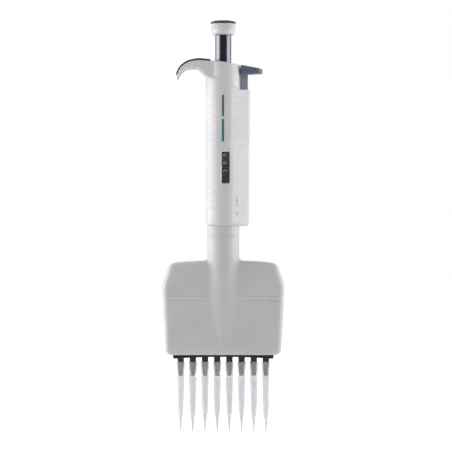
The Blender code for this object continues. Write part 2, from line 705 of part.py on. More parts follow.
def build():
    clear_scene()
    white = plastic("white_plastic", WHITE, 0.35)
    grey = plastic("grey_plastic", GREY, 0.4)
    pad = plastic("pad_rubber", DARK, 0.6)
    slate = plastic("slate_plastic", SLATE, 0.4)
    black = plastic("black_plastic", (0.02, 0.02, 0.022), 0.35)
    clear = plastic("clear_plastic", (0.9, 0.92, 0.93), 0.1, alpha=0.4)
    frosted = plastic("frosted_plastic", (0.78, 0.79, 0.82), 0.35, alpha=0.6)
    steel = plastic("steel", (0.62, 0.63, 0.65), 0.15, metallic=1.0)
    brass = plastic("brass", (0.72, 0.55, 0.25), 0.3, metallic=1.0)
    rubber = plastic("seal_rubber", (0.12, 0.12, 0.12), 0.7)
    drum = plastic("drum_plastic", (0.03, 0.03, 0.035), 0.5)

    handle_body(white)
    upper_housing(white)
    hook_pad(pad)
    lens_gap = 0.3
    lens = block(
        (WINDOW_X - WINDOW_HALF_X + lens_gap, -11.9, WINDOW_LOW + lens_gap),
        (WINDOW_X + WINDOW_HALF_X - lens_gap, -10.7, WINDOW_TOP - lens_gap),
    )
    add_object("window_lens", lens, clear)
    inner_barrel(grey)
    add_object("retaining_nut", tube(8.0, 5.5, 125.2, 128.7, 24), steel)
    add_object("swivel_collar", tube(COLLAR_R, 9.8, NECK_TOP + GAP, COLLAR_TOP, 40), grey)
    plunger_bush(grey)
    add_object("main_spring", coil(5.75, 0.55, 136.9, 177.2, 8), steel)
    add_object("blowout_spring", coil(3.95, 0.5, 136.9, 163.1, 8), steel)
    spring_low, spring_top = 222.0, 243.0
    add_object("ejector_spring", coil(1.75, 0.3, spring_low, spring_top, 8, (ROD_X, 0)), steel)
    _, hundreds, tens, units = drums(drum)
    cap, button = button_cap(pad), push_button(white)
    main_rod, shaft = plunger_rod(steel), drive_shaft(steel)
    thrust = add_object("thrust_collar", tube(6.6, 2.6, 177.5, 181.2, 28), brass)
    screw = volume_screw(brass)
    nut = add_object("stop_nut", tube(10.3, 7.8, 212.0, 216.0, 24), steel)
    lever, side_rod = ejector_button(slate), ejector_rod(steel)

    cavity = manifold_cavity()
    fixed_below = [
        manifold_cover("manifold_front_cover", -1, grey, cavity),
        manifold_cover("manifold_rear_cover", 1, grey, cavity),
        swivel_hub(grey), cylinder_plate(grey), piston_seal_strip(rubber),
    ]
    fixed_below += nozzles(black)
    bar = block((-33.6, -4.4, PISTON_BAR_LOW), (33.6, 4.4, PISTON_BAR_TOP))
    moved_by_plunger = [add_object("piston_bar", bar, steel)]
    moved_by_plunger.append(push_rod(steel))
    moved_by_plunger += pistons(steel)
    moved_by_ejector = [ejector_yoke(steel), ejector_bar(black)]

    plunger = carry("plunger_axis", [thrust], at=(0, 0, 177.5))
    knob = carry("volume_axis", [cap, button, main_rod, shaft], at=(0, 0, 301.5))
    knob.location = knob.location - plunger.location
    knob.parent = plunger
    for name, item in (("units", units), ("tens", tens), ("hundreds", hundreds), ("screw", screw)):
        carry(name + "_axis", [item], at=(0, 0, 200))
    carry("stop_nut_axis", [nut], at=(0, 0, 214))
    carry("ejector_axis", [lever, side_rod], at=(ROD_X, 0, 243.0))
    groups = [
        carry("piston_axis", moved_by_plunger, at=(0, 0, 104)),
        carry("ejector_bar_axis", moved_by_ejector, at=(0, 0, 57)),
        carry("tips_axis", tips(frosted), at=(0, 0, TIP_TOP)),
    ]
    manifold = carry("manifold_axis", fixed_below, at=(0, 0, NECK_TOP))
    for group in groups:
        group.location = group.location - manifold.location
        group.parent = manifold


build()
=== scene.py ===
"""Looks of the eight-channel pipette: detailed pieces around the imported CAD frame.

Shapes are worked out in millimetres and stored in metres. The main axis is
x = y = 0, +Z is up, the display faces -Y and the tip ejector is at +X.
"""
import math

import bmesh
import bpy
import numpy as np
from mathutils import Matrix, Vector


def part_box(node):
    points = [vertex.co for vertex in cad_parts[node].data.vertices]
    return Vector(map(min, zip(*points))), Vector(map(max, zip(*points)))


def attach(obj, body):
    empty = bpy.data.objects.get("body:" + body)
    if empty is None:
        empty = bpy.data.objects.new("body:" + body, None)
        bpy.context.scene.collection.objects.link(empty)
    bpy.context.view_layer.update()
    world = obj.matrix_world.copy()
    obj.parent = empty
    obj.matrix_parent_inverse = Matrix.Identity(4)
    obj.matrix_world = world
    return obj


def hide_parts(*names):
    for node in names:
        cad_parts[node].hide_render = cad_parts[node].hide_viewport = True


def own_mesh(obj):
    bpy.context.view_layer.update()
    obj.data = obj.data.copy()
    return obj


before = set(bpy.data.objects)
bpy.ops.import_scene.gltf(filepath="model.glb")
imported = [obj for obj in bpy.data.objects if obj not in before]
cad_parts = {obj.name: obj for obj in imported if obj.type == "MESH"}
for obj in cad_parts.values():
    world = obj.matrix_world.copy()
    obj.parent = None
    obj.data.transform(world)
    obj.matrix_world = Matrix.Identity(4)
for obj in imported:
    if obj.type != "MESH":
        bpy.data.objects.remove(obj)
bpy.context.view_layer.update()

MM = 0.001


def box_mm(node):
    """Lowest and highest corner of a CAD node in millimetres."""
    low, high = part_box(node)
    return np.array(low) / MM, np.array(high) / MM


# ---------------------------------------------------------------- sizes from the frame

HANDLE_LOW, HANDLE_HIGH = box_mm("handle_body")
HANDLE_R = HANDLE_HIGH[1]                        # round side of the handle
NOSE_R, NOSE_X_LOW, NOSE_X_TOP = 3.2, 15.65, 16.5
BORE_R, NOSE_BORE_R = 10.6, 1.9
SHOULDER_Z = 252.7
FLOOR_Z = HANDLE_LOW[2] + 2.5
BORE_TOP_Z = 268.6
SEAM_LEFT = box_mm("upper_housing")[0][0] - 0.15
HOUSING_RIGHT = box_mm("upper_housing")[1][0]
ROOF_Z, ROOF_SLOPE = 272.9, 0.158                # sloping top of the upper housing
SEAM_GAP = 0.015                                 # half the visible gap between casings

WINDOW_LOW, WINDOW_HIGH = box_mm("window_lens")
WINDOW_X = (WINDOW_LOW[0] + WINDOW_HIGH[0]) / 2
WINDOW_Z = (WINDOW_LOW[2] + WINDOW_HIGH[2]) / 2
WINDOW_HALF_X = (WINDOW_HIGH[0] - WINDOW_LOW[0]) / 2 + 0.3
WINDOW_HALF_Z = (WINDOW_HIGH[2] - WINDOW_LOW[2]) / 2 + 0.3

COVER_LOW, COVER_HIGH = box_mm("manifold_rear_cover")
MANIFOLD_LOW, NECK_TOP = COVER_LOW[2], COVER_HIGH[2]
MANIFOLD_TOP = 127.6
NECK_R, NECK_BORE_R = 11.7, 9.7
WALL = 2.1
SLAB_LOW_Y, SLAB_TOP_Y = 12.05, 6.95

TIPS = [f"tip_{i}" for i in range(1, 9)]
NOZZLES = [f"nozzle_{i}" for i in range(1, 9)]


# ---------------------------------------------------------------- curves and distance fields

def arc(centre, radius, start, end, count):
    """Points on an arc, angles in degrees."""
    angles = np.radians(np.linspace(start, end, count))
    return [(centre[0] + radius * math.cos(a), centre[1] + radius * math.sin(a)) for a in angles]


def rounded_outline(middle, half_u, half_v, corner, radius, count):
    """Rectangle whose corner arcs of the given radius sit a corner's width inside its edges."""
    outline = []
    for side_u, side_v, start in ((1, 1, 0), (-1, 1, 90), (-1, -1, 180), (1, -1, 270)):
        centre = (middle[0] + side_u * (half_u - corner), middle[1] + side_v * (half_v - corner))
        outline += arc(centre, radius, start, start + 90, count)
    return outline


def curve_through(points, steps):
    """Catmull-Rom curve through 2D points."""
    points = [np.array(p, float) for p in points]
    ends = [points[0]] + points + [points[-1]]
    curve = []
    for a, b, c, d in zip(ends, ends[1:], ends[2:], ends[3:]):
        for t in np.arange(steps) / steps:
            curve.append(
                a * (-0.5 * t + t * t - 0.5 * t ** 3) + b * (1 - 2.5 * t * t + 1.5 * t ** 3)
                + c * (0.5 * t + 2 * t * t - 1.5 * t ** 3) + d * (-0.5 * t * t + 0.5 * t ** 3)
            )
    return np.array(curve + [points[-1]])


def smooth_max(a, b, width):
    """Larger of two fields, rounded where they meet."""
    share = np.clip(0.5 + 0.5 * (a - b) / width, 0, 1)
    return b * (1 - share) + a * share + width * share * (1 - share)


def smooth_min(a, b, width):
    """Smaller of two fields, rounded where they meet."""
    return -smooth_max(-a, -b, width)


def step(low, high, value):
    """Smooth rise from 0 at low to 1 at high."""
    t = np.clip((value - low) / (high - low), 0, 1)
    return t * t * (3 - 2 * t)


def teardrop(x, y, radius, nose_radius, nose_x):
    """Distance to the hull of a circle at the origin and a smaller one at nose_x."""
    across = np.abs(y)
    slope = (radius - nose_radius) / nose_x
    along = np.sqrt(1 - slope * slope)
    k = along * x - slope * across
    round_side = np.hypot(x, across) - radius
    nose_side = np.hypot(x - nose_x, across) - nose_radius
    flank = slope * x + along * across - radius
    return np.where(k < 0, round_side, np.where(k > along * nose_x, nose_side, flank))


def rectangle(u, v, half_u, half_v, corner):
    """Distance to a rectangle with rounded corners, centred on zero."""
    du, dv = np.abs(u) - half_u + corner, np.abs(v) - half_v + corner
    outside = np.hypot(np.maximum(du, 0), np.maximum(dv, 0))
    return outside + np.minimum(np.maximum(du, dv), 0) - corner


def polyline_distance(u, v, points):
    """Distance to an open line through 2D points."""
    best = np.full(u.shape, 1e9)
    for (u0, v0), (u1, v1) in zip(points, points[1:]):
        eu, ev = u1 - u0, v1 - v0
        t = np.clip(((u - u0) * eu + (v - v0) * ev) / (eu * eu + ev * ev), 0, 1)
        best = np.minimum(best, np.hypot(u - u0 - t * eu, v - v0 - t * ev))
    return best


def polygon(u, v, points):
    """Distance to a closed outline, negative inside."""
    points = list(points) + [points[0]]
    inside = np.zeros(u.shape, bool)
    for (u0, v0), (u1, v1) in zip(points, points[1:]):
        crosses = (v0 > v) != (v1 > v)
        height = np.where(v1 == v0, 1.0, v1 - v0)
        inside ^= crosses & (u < (u1 - u0) * (v - v0) / height + u0)
    distance = polyline_distance(u, v, points)
    return np.where(inside, -distance, distance)


def groove(z, places, half_width, depth):
    """Depth of soft horizontal grooves at the given heights."""
    total = np.zeros(z.shape)
    for place in places:
        total += depth * np.exp(-((z - place) / half_width) ** 2)
    return total


def rows_between(low, high, coarse, places=(), fine=0.2, reach=1.2):
    """Grid coordinates from low to high, closer together near the given places."""
    marks = [low]
    while marks[-1] < high:
        near = any(abs(marks[-1] - place) < reach for place in places)
        marks.append(marks[-1] + (fine if near else coarse))
    return np.array(marks)


# ---------------------------------------------------------------- meshes

def store(name, points, faces, smooth_angle=40):
    """Mesh object from points in millimetres."""
    data = bpy.data.meshes.new(name)
    data.from_pydata((np.asarray(points) * MM).tolist(), [], [list(map(int, f)) for f in faces])
    data.validate()
    data.shade_smooth()
    data.set_sharp_from_angle(angle=math.radians(smooth_angle))
    item = bpy.data.objects.new(name, data)
    bpy.context.scene.collection.objects.link(item)
    return item


def crossing_points(values, axes):
    """Surface-net vertices: the mean of the edge crossings of each cell that the surface cuts."""
    shape = tuple(n - 1 for n in values.shape)
    total = np.zeros(shape + (3,))
    count = np.zeros(shape)
    for axis in range(3):
        others = [a for a in range(3) if a != axis]
        for i in (0, 1):
            for j in (0, 1):
                low, high = [0] * 3, [0] * 3
                for other, offset in zip(others, (i, j)):
                    low[other] = high[other] = offset
                high[axis] = 1
                first = values[tuple(slice(o, o + n) for o, n in zip(low, shape))]
                last = values[tuple(slice(o, o + n) for o, n in zip(high, shape))]
                cut = (first < 0) != (last < 0)
                share = np.where(cut, first / np.where(cut, first - last, 1.0), 0.0)
                count += cut
                for a in range(3):
                    line = axes[a]
                    base = line[low[a]:low[a] + shape[a]]
                    base = base.reshape([-1 if k == a else 1 for k in range(3)])
                    if a == axis:
                        gap = np.diff(line).reshape(base.shape)
                        total[..., a] += np.where(cut, base + share * gap, 0.0)
                    else:
                        total[..., a] += np.where(cut, base, 0.0)
    used = count > 0
    return total[used] / count[used][:, None], used


def skin(name, field, axes, smooth_angle=40):
    """Closed mesh of the zero surface of a distance field, on a grid of x, y and z rows."""
    grid = np.meshgrid(*axes, indexing="ij")
    values = field(*grid)
    points, used = crossing_points(values, axes)
    number = np.full(used.shape, -1)
    number[used] = np.arange(len(points))
    faces = []
    for axis in range(3):
        b, c = [a for a in range(3) if a != axis]
        first = np.take(values, range(values.shape[axis] - 1), axis) < 0
        last = np.take(values, range(1, values.shape[axis]), axis) < 0
        cut = np.argwhere(first != last)
        cut = cut[(cut[:, b] > 0) & (cut[:, b] < values.shape[b] - 1)
                  & (cut[:, c] > 0) & (cut[:, c] < values.shape[c] - 1)]
        outward = first[tuple(cut.T)]
        corners = []
        for ob, oc in ((1, 1), (0, 1), (0, 0), (1, 0)):
            cell = cut.copy()
            cell[:, b] -= ob
            cell[:, c] -= oc
            corners.append(number[tuple(cell.T)])
        quads = np.stack(corners, 1)
        flip = outward != (axis != 1)
        quads[flip] = quads[flip][:, ::-1]
        faces.append(quads)
    faces = np.concatenate(faces)
    points = settled(points, field, max(np.diff(axes[0]).max(), 0.3))
    return store(name, points, faces, smooth_angle)


def settled(points, field, reach, rounds=4, probe=0.02):
    """Points moved onto the field's zero surface along its gradient."""
    for _ in range(rounds):
        x, y, z = points.T
        value = field(x, y, z)
        slope = np.stack([
            field(x + probe, y, z) - field(x - probe, y, z),
            field(x, y + probe, z) - field(x, y - probe, z),
            field(x, y, z + probe) - field(x, y, z - probe),
        ], 1) / (2 * probe)
        steep = np.maximum((slope ** 2).sum(1), 0.2)
        move = np.clip(value / steep, -0.4 * reach, 0.4 * reach)
        points = points - slope * move[:, None]
    return points


def turned(name, profile, segments, centre=(0.0, 0.0), ripple=None, smooth_angle=40):
    """Solid of revolution of a closed (radius, z) profile; ripple(angle, z) adds to the radius."""
    points, rows = [], []
    angles = 2 * math.pi * np.arange(segments) / segments
    for radius, z in profile:
        if radius == 0:
            rows.append([len(points)] * segments)
            points.append((centre[0], centre[1], z))
            continue
        rows.append(list(range(len(points), len(points) + segments)))
        for a in angles:
            r = radius + (ripple(a, z) if ripple else 0.0)
            points.append((centre[0] + r * math.cos(a), centre[1] + r * math.sin(a), z))
    faces = []
    for row, following in zip(rows, rows[1:] + rows[:1]):
        for i in range(segments):
            j = (i + 1) % segments
            face = list(dict.fromkeys([row[i], row[j], following[j], following[i]]))
            if len(face) > 2:
                faces.append(face)
    item = store(name, points, faces, smooth_angle)
    outward_normals(item)
    return item


def lofted(name, rings, smooth_angle=40):
    """Closed skin through rings of equal length."""
    size = len(rings[0])
    points = [p for ring in rings for p in ring]
    faces = []
    for k in range(len(rings) - 1):
        for i in range(size):
            j = (i + 1) % size
            faces.append([k * size + i, k * size + j, (k + 1) * size + j, (k + 1) * size + i])
    faces.append(list(range(size)))
    faces.append(list(range((len(rings) - 1) * size, len(rings) * size)))
    item = store(name, points, faces, smooth_angle)
    outward_normals(item)
    return item


def outward_normals(item):
    """Turn every face of a closed mesh outward."""
    mesh = bmesh.new()
    mesh.from_mesh(item.data)
    bmesh.ops.recalc_face_normals(mesh, faces=mesh.faces)
    mesh.to_mesh(item.data)
    mesh.free()


def rounded(profile, radius, steps=3):
    """Closed (radius, z) profile with its corners off the axis rounded."""
    result = []
    count = len(profile)
    for i, corner in enumerate(profile):
        if corner[0] == 0:
            result.append(corner)
            continue
        before, after = np.array(profile[i - 1]), np.array(profile[(i + 1) % count])
        here = np.array(corner, float)
        to_before, to_after = before - here, after - here
        cut = min(radius, 0.4 * np.linalg.norm(to_before), 0.4 * np.linalg.norm(to_after))
        start = here + to_before / np.linalg.norm(to_before) * cut
        end = here + to_after / np.linalg.norm(to_after) * cut
        for t in np.linspace(0, 1, steps):
            result.append(tuple((1 - t) ** 2 * start + 2 * t * (1 - t) * here + t * t * end))
    return result


# ---------------------------------------------------------------- materials

def new_material(name):
    material = bpy.data.materials.new(name)
    material.use_nodes = True
    tree = material.node_tree
    return material, tree, tree.nodes["Principled BSDF"]


def noise(tree, scale, detail=3.0, stretch=(1, 1, 1)):
    """Noise over the object's own metres."""
    place = tree.nodes.new("ShaderNodeTexCoord")
    mapping = tree.nodes.new("ShaderNodeMapping")
    mapping.inputs["Scale"].default_value = stretch
    texture = tree.nodes.new("ShaderNodeTexNoise")
    texture.inputs["Scale"].default_value = scale
    texture.inputs["Detail"].default_value = detail
    tree.links.new(place.outputs["Object"], mapping.inputs["Vector"])
    tree.links.new(mapping.outputs["Vector"], texture.inputs["Vector"])
    return texture.outputs["Fac"]


def spread(tree, value, low, high):
    """Remap noise around its middle to the range low to high."""
    node = tree.nodes.new("ShaderNodeMapRange")
    node.inputs["From Min"].default_value = 0.3
    node.inputs["From Max"].default_value = 0.7
    node.inputs["To Min"].default_value = low
    node.inputs["To Max"].default_value = high
    tree.links.new(value, node.inputs["Value"])
    return node.outputs["Result"]


def bump(tree, shader, heights):
    """Chain of bumps from (height output, distance in metres, strength)."""
    normal = None
    for height, distance, strength in heights:
        node = tree.nodes.new("ShaderNodeBump")
        node.inputs["Distance"].default_value = distance
        node.inputs["Strength"].default_value = strength
        tree.links.new(height, node.inputs["Height"])
        if normal:
            tree.links.new(normal, node.inputs["Normal"])
        normal = node.outputs["Normal"]
    tree.links.new(normal, shader.inputs["Normal"])


def two_tone(tree, shader, cloud, first, second):
    """Base colour that drifts between two colours with a noise."""
    mix = tree.nodes.new("ShaderNodeMix")
    mix.data_type = "RGBA"
    mix.inputs["A"].default_value = (*first, 1)
    mix.inputs["B"].default_value = (*second, 1)
    tree.links.new(spread(tree, cloud, 0.0, 1.0), mix.inputs["Factor"])
    tree.links.new(mix.outputs["Result"], shader.inputs["Base Color"])


def moulded(name, colour, roughness, grain=0.35, tone=0.03, scuff=0.06, gloss=0.5):
    """Injection-moulded plastic: fine grain, slow flow marks and a little handling wear."""
    material, tree, shader = new_material(name)
    flow = noise(tree, 60, 2.0)
    worn = noise(tree, 420, 6.0, (1.0, 1.0, 0.35))
    darker = [c * (1 - tone) for c in colour]
    lighter = [min(1.0, c * (1 + tone)) for c in colour]
    two_tone(tree, shader, flow, darker, lighter)
    tree.links.new(
        spread(tree, worn, roughness - scuff, roughness + scuff), shader.inputs["Roughness"])
    bump(tree, shader, [
        (noise(tree, 2600, 2.0), 0.00001, grain * 0.4),
        (noise(tree, 500, 3.0), 0.00002, grain * 0.3),
    ])
    shader.inputs["Specular IOR Level"].default_value = gloss
    return material


def metal(name, colour, roughness, stretch=(1, 1, 40), scale=500, depth=0.00001):
    """Turned or drawn metal with fine tool marks."""
    material, tree, shader = new_material(name)
    shader.inputs["Metallic"].default_value = 1.0
    marks = noise(tree, scale, 4.0, stretch)
    two_tone(tree, shader, marks, [c * 0.95 for c in colour], colour)
    tree.links.new(
        spread(tree, noise(tree, 300, 3.0), roughness * 0.93, roughness * 1.12),
        shader.inputs["Roughness"])
    bump(tree, shader, [(marks, depth, 0.3)])
    return material


def clear_glass(name, colour, roughness):
    """Clear moulded pane with faint surface marks."""
    material, tree, shader = new_material(name)
    shader.inputs["Base Color"].default_value = (*colour, 1)
    shader.inputs["Transmission Weight"].default_value = 1.0
    shader.inputs["IOR"].default_value = 1.46
    tree.links.new(
        spread(tree, noise(tree, 700, 4.0), roughness * 0.6, roughness * 1.5),
        shader.inputs["Roughness"])
    bump(tree, shader, [(noise(tree, 900, 5.0, (1, 1, 0.1)), 0.000002, 0.2)])
    return material


TAPER_ALPHA, COLLAR_ALPHA = 0.44, 0.25
TAPER_TOP, COLLAR_LOW = 0.0385, 0.0425           # metres up the tip, between them the alpha changes


def frosted(name):
    """Milky polypropylene of the tips: mostly scattered light, with some seen through."""
    material, tree, shader = new_material(name)
    cloud = noise(tree, 160, 3.0, (1, 1, 0.4))
    two_tone(tree, shader, cloud, (0.91, 0.90, 0.95), (0.95, 0.94, 0.98))
    # the thin collar lets the cone show through, the long taper is milkier
    place = tree.nodes.new("ShaderNodeTexCoord")
    parts = tree.nodes.new("ShaderNodeSeparateXYZ")
    tree.links.new(place.outputs["Object"], parts.inputs["Vector"])
    height = tree.nodes.new("ShaderNodeMapRange")
    height.inputs["From Min"].default_value = TAPER_TOP
    height.inputs["From Max"].default_value = COLLAR_LOW
    height.inputs["To Min"].default_value = TAPER_ALPHA
    height.inputs["To Max"].default_value = COLLAR_ALPHA
    tree.links.new(parts.outputs["Z"], height.inputs["Value"])
    cloudy = tree.nodes.new("ShaderNodeMath")
    tree.links.new(height.outputs["Result"], cloudy.inputs[0])
    tree.links.new(spread(tree, cloud, -0.01, 0.01), cloudy.inputs[1])
    tree.links.new(cloudy.outputs["Value"], shader.inputs["Alpha"])
    tree.links.new(
        spread(tree, noise(tree, 900, 4.0), 0.28, 0.4), shader.inputs["Roughness"])
    bump(tree, shader, [(noise(tree, 700, 2.0), 0.000003, 0.12)])
    return material


WHITE = moulded("white_satin_plastic", (0.80, 0.785, 0.80), 0.38)
GREY = moulded("grey_satin_plastic", (0.71, 0.705, 0.72), 0.42)
PAD = moulded("soft_pad", (0.045, 0.05, 0.055), 0.6, grain=0.8, tone=0.1)
CAP = moulded("cap_plastic", (0.05, 0.055, 0.06), 0.42, grain=0.5, tone=0.08)
SLATE = moulded("slate_plastic", (0.15, 0.17, 0.235), 0.4, grain=0.4, tone=0.06)
NOZZLE = moulded("nozzle_plastic", (0.018, 0.02, 0.03), 0.4, grain=0.3, tone=0.06)
BLACK = moulded("black_plastic", (0.012, 0.012, 0.014), 0.32, grain=0.3, tone=0.1)
DRUM = moulded("drum_plastic", (0.008, 0.008, 0.009), 0.5, grain=0.06, tone=0.1, gloss=0.15)
INK = moulded("digit_ink", (0.50, 0.51, 0.52), 0.5, grain=0.2, gloss=0.2)
TEAL = moulded("teal_print", (0.02, 0.20, 0.22), 0.45, grain=0.2)
GREY_PRINT = moulded("grey_print", (0.13, 0.15, 0.16), 0.45, grain=0.2)
PALE_PRINT = moulded("pale_print", (0.42, 0.42, 0.43), 0.45, grain=0.2)
RUBBER = moulded("seal_rubber", (0.03, 0.03, 0.03), 0.7, grain=0.8)
STEEL = metal("polished_steel", (0.20, 0.21, 0.24), 0.25, depth=0.000001)
INNER_STEEL = metal("turned_steel", (0.62, 0.62, 0.64), 0.28, (1, 1, 12), 900)
BRASS = metal("turned_brass", (0.72, 0.52, 0.22), 0.26, (1, 1, 12), 900)
LENS = clear_glass("clear_lens", (0.95, 0.97, 0.97), 0.03)
FROSTED = frosted("frosted_polypropylene")


def finish(item, body, material, nodes=()):
    """Material and body of a piece; hides the CAD nodes that it stands for."""
    item.data.materials.clear()
    item.data.materials.append(material)
    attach(item, body)
    if nodes:
        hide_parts(*nodes)
    return item


# ---------------------------------------------------------------- handle with finger hook

LEFT_GROOVES = [245.3 - 5.0 * i for i in range(17)]
RIGHT_GROOVES = [246.8 - 5.06 * i for i in range(8)]
GRIP_HALF = 0.42                                 # half width of a grip groove


def hook_curves():
    """Top and underside of the finger hook, from the housing to its tip."""
    top = curve_through([
        (-6.0, 274.0), (-10.5, 274.9), (-19.0, 275.5), (-27.0, 273.6), (-32.2, 269.6), (-34.9, 264.2),
    ], 6)
    under = curve_through([
        (-6.0, 258.5), (-13.6, 263.2), (-18.6, 267.9), (-27.0, 267.7), (-31.4, 264.3), (-33.7, 260.3),
    ], 6)
    return top, under


HOOK_ROOT_HALF, HOOK_TIP_HALF = 10.5, 7.6         # half widths of the finger hook
HOOK_ROOT_X, HOOK_REACH = -12.8, 22.6


def hook_half_width(x):
    """Half the width of the hook, narrower towards its tip."""
    share = np.clip((HOOK_ROOT_X - x) / HOOK_REACH, 0, 1)
    return HOOK_ROOT_HALF + (HOOK_TIP_HALF - HOOK_ROOT_HALF) * share ** 2


def offset_curve(curve, distance):
    """Open curve moved to its right-hand side."""
    along = np.gradient(curve, axis=0)
    along /= np.linalg.norm(along, axis=1)[:, None]
    return curve + np.stack([along[:, 1], -along[:, 0]], 1) * distance


PAD_THICKNESS, PAD_CLEARANCE = 0.95, 0.05
HOOK_TIP = [(-34.55, 262.2), (-34.25, 260.7)]     # blunt end below the pad
HOOK_CORE, HOOK_ROUNDING = 1.8, 1.5


def hook_field(x, y, z):
    """Finger hook below its pad."""
    top, under = hook_curves()
    lowered = np.concatenate([offset_curve(top, -PAD_THICKNESS - PAD_CLEARANCE), HOOK_TIP])
    outline = np.concatenate([lowered, under[::-1]])
    value = np.full(x.shape, 50.0)
    near = (x < -3) & (z > 252)
    u, v, w = x[near], y[near], z[near]
    profile = polygon(u, w, outline)
    to_top = polyline_distance(u, w, lowered)
    to_under = polyline_distance(u, w, under)
    thickness = to_top + to_under
    # inside, the two sides blend so that no crease runs along the hook's middle
    core = -smooth_min(to_top, to_under, np.clip(0.6 * thickness, 0.05, HOOK_CORE))
    profile = np.where(profile < 0, np.maximum(core, -HOOK_CORE), profile)
    rounding = np.clip(0.7 * thickness, 0.3, HOOK_ROUNDING)
    value[near] = smooth_max(profile, np.abs(v) - hook_half_width(u), rounding)
    return value


SEAM = curve_through([(SEAM_LEFT, 262.6), (-3.3, 259.2), (1.0, 256.7), (6.6, 254.8), (12.3, 252.9)], 8)


def above_seam(x, z):
    """Signed height over the seam between body and upper housing, negative below."""
    height = z - np.interp(x, SEAM[:, 0], SEAM[:, 1], right=SHOULDER_Z)
    return height * 0.88


def nose_x(z):
    """Middle of the handle's narrow side, which leans out upwards."""
    return NOSE_X_LOW + (NOSE_X_TOP - NOSE_X_LOW) * (z - HANDLE_LOW[2]) / (SHOULDER_Z - HANDLE_LOW[2])


def handle_field(x, y, z):
    """Casing with grooves, hook and display opening, hollow inside."""
    outer = teardrop(x, y, HANDLE_R, NOSE_R, nose_x(z))
    left = groove(z, LEFT_GROOVES, GRIP_HALF, 0.30) * step(-5.2, -6.8, x)
    flank = step(5.2, 6.6, x) * step(19.2, 18.0, x)
    right = groove(z, RIGHT_GROOVES, GRIP_HALF, 0.26) * flank
    body = smooth_max(outer + left + right, HANDLE_LOW[2] - z, 2.2)
    body = smooth_max(body, z - 273.2, 1.0)
    body = smooth_min(body, hook_field(x, y, z), 1.2)
    housing_side = np.minimum(above_seam(x, z) + SEAM_GAP, x - SEAM_LEFT + SEAM_GAP)
    body = smooth_max(body, housing_side, 0.2)
    # display opening with a sloping border, and a fine line around it
    frame_line = np.abs(rectangle(
        x - WINDOW_X, z - WINDOW_Z, WINDOW_HALF_X + 1.75, WINDOW_HALF_Z + 1.9, 1.2))
    front = step(-8.0, -9.0, y)
    body = body + 0.16 * np.exp(-(frame_line / 0.3) ** 2) * front
    opening = rectangle(x - WINDOW_X, z - WINDOW_Z, WINDOW_HALF_X, WINDOW_HALF_Z, 0.8)
    opening = opening - np.maximum(0, outer + 0.8)
    opening = np.maximum(opening, y + 8.5)
    body = smooth_max(body, -opening, 0.25)
    bore = teardrop(x, y, BORE_R, NOSE_BORE_R, nose_x(z) + 0.1)
    bore = np.maximum(np.maximum(bore, FLOOR_Z - z), z - BORE_TOP_Z)
    floor_hole = np.maximum(np.hypot(x, y) - 9.8, z - FLOOR_Z - 1)
    bush_hole = np.maximum(np.hypot(x, y) - 8.2, BORE_TOP_Z - 1 - z)
    return np.maximum(body, -np.minimum(bore, np.minimum(floor_hole, bush_hole)))


def handle_body():
    cross = 0.55
    fine = 0.28
    edges = [WINDOW_Z + side * (WINDOW_HALF_Z + away) for side in (-1, 1) for away in (0.6, 1.9)]
    low_rows = rows_between(
        HANDLE_LOW[2] - 0.9, 250.0, 1.1, LEFT_GROOVES + RIGHT_GROOVES + edges, fine, 1.0)
    high_rows = rows_between(low_rows[-1] + 0.45, 277.5, 0.45, [262.0, 265.0, 268.0], fine, 2.0)
    columns = rows_between(-36.6, 21.0, cross, [-34.0, -31.0, -28.0, SEAM_LEFT], fine, 2.0)
    axes = [columns, np.arange(-13.9, 14.0, cross), np.concatenate([low_rows, high_rows])]
    item = skin("handle_shell", handle_field, axes)
    return finish(item, "handle", WHITE, ["handle_body"])


def housing_field(x, y, z):
    """Upper casing above the seam, open for the plunger."""
    body = np.hypot(x, y) - HANDLE_R
    roof = (z - ROOF_Z + ROOF_SLOPE * x) / math.hypot(1, ROOF_SLOPE)
    body = smooth_max(body, roof, 1.1)
    body = smooth_max(body, -above_seam(x, z) + SEAM_GAP, 0.2)
    body = smooth_max(body, SEAM_LEFT + SEAM_GAP - x, 0.12)
    body = smooth_max(body, x - HOUSING_RIGHT, 0.7)
    bore = np.maximum(np.hypot(x, y) - BORE_R, z - BORE_TOP_Z)
    hole = np.hypot(x, y) - 8.1
    return smooth_max(body, -np.minimum(bore, hole), 0.4)


def upper_housing():
    pitch = 0.4
    axes = [np.arange(-8.2, 13.4, pitch), np.arange(-13.9, 14.0, pitch), np.arange(251.6, 275.6, pitch)]
    item = skin("upper_housing_shell", housing_field, axes)
    return finish(item, "handle", WHITE, ["upper_housing"])


def hook_pad():
    """Soft strip over the hook, with rounded long edges and a thin tip."""
    top, _ = hook_curves()
    covered = top[5:]
    below = offset_curve(covered, -PAD_THICKNESS)
    rings = []
    for (x1, z1), (x0, z0) in zip(covered, below):
        half = float(hook_half_width(np.array(x1))) - 0.25
        edge = 0.5
        sides = [(-half, 0), (half, 0)]
        sides += [(half - edge + edge * math.cos(a), 1 - edge + edge * math.sin(a))
                  for a in np.radians([0, 30, 60, 90])]
        sides += [(-half + edge - edge * math.sin(a), 1 - edge + edge * math.cos(a))
                  for a in np.radians([0, 30, 60, 90])]
        rings.append([(x0 + (x1 - x0) * d, y, z0 + (z1 - z0) * d) for y, d in sides])
    item = lofted("hook_pad_strip", rings, 50)
    return finish(item, "handle", PAD, ["hook_pad"])


# ---------------------------------------------------------------- button, rod and ejector

BUTTON_LIFT, CAP_DROP = 0.6, 0.9                   # small trims of the button's two ends


